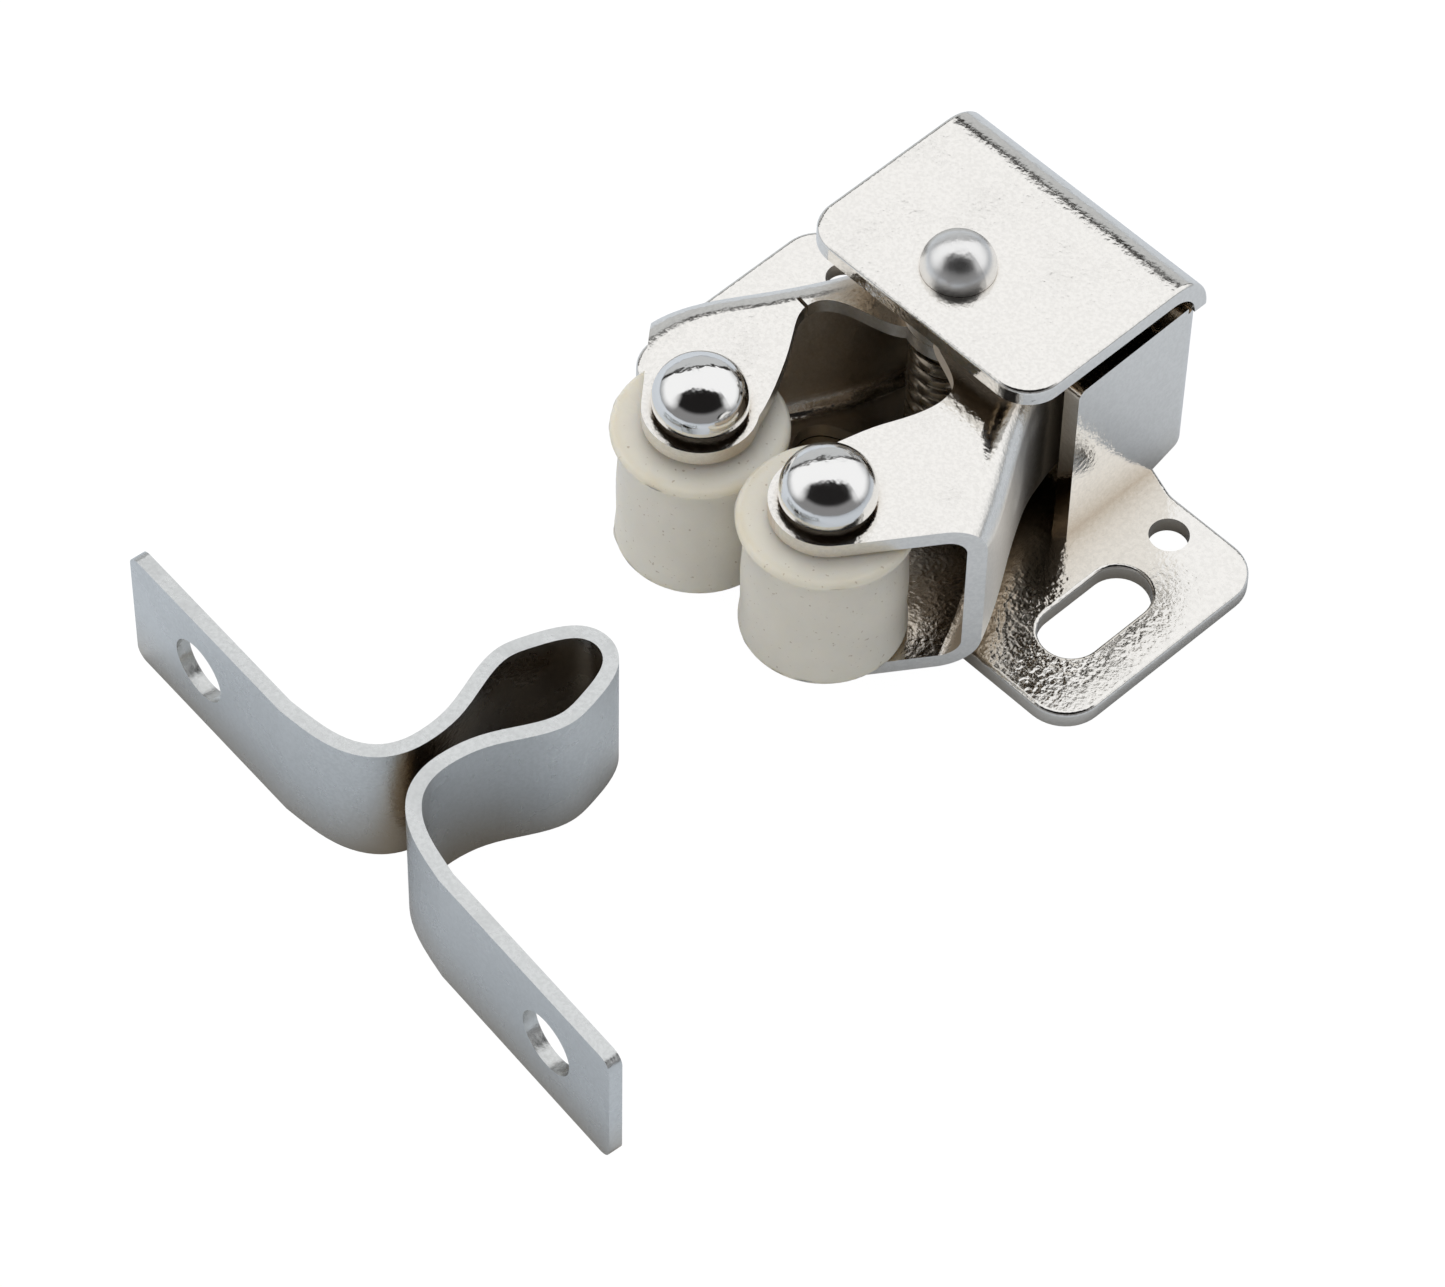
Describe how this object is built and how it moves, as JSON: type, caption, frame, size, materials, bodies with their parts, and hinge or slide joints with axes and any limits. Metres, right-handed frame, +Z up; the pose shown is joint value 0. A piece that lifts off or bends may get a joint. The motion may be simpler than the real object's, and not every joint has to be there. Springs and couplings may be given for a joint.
{
  "type": "double roller catch",
  "caption": "Cupboard door catch: a folded plated housing with two sprung arms that carry white nylon rollers, and a folded spear-shaped strike that pushes in between them.",
  "frame": {"origin": "middle of the pair of screw slots, on the mounting face under the wings", "axes": "+Z up from the mounting face through the top plate, +Y from the rollers back to the rear wall, +X to the right seen from the strike"},
  "size_m": [0.0389, 0.052, 0.0175],
  "materials": {
    "bright_plate": "bright plated, fine orange peel",
    "arm_plate": "bright plated, smooth",
    "rivet_plate": "polished dome",
    "nylon": "milky satin",
    "spring_wire": "dark drawn wire",
    "strike_plate": "satin plated"
  },
  "bodies": {
    "base": {"housing": "bright_plate", "pivot_rivet": "rivet_plate", "spring": "spring_wire", "strike": "strike_plate"},
    "left_jaw": {"left_arm": "arm_plate", "left_axle": "rivet_plate"},
    "right_jaw": {"right_arm": "arm_plate", "right_axle": "rivet_plate"},
    "left_wheel": {"left_roller": "nylon"},
    "right_wheel": {"right_roller": "nylon"}
  },
  "joints": [
    {"name": "left_arm_pivot", "type": "hinge", "parent": "base", "child": "left_jaw", "pos_m": [-0.0006, 0.0021, 0.006], "axis": [0, 0, -1], "range_deg": [0, 12], "stiffness_Nm_per_rad": 0.12, "springref_deg": -20.05},
    {"name": "right_arm_pivot", "type": "hinge", "parent": "base", "child": "right_jaw", "pos_m": [-0.0006, 0.0021, 0.007], "axis": [0, 0, 1], "range_deg": [0, 12], "stiffness_Nm_per_rad": 0.12, "springref_deg": -20.05},
    {"name": "left_roller_spin", "type": "hinge", "parent": "left_jaw", "child": "left_wheel", "pos_m": [-0.00496, -0.0117, 0.0063], "axis": [0, 0, 1], "continuous": true},
    {"name": "right_roller_spin", "type": "hinge", "parent": "right_jaw", "child": "right_wheel", "pos_m": [0.00416, -0.0117, 0.0075], "axis": [0, 0, 1], "continuous": true}
  ]
}
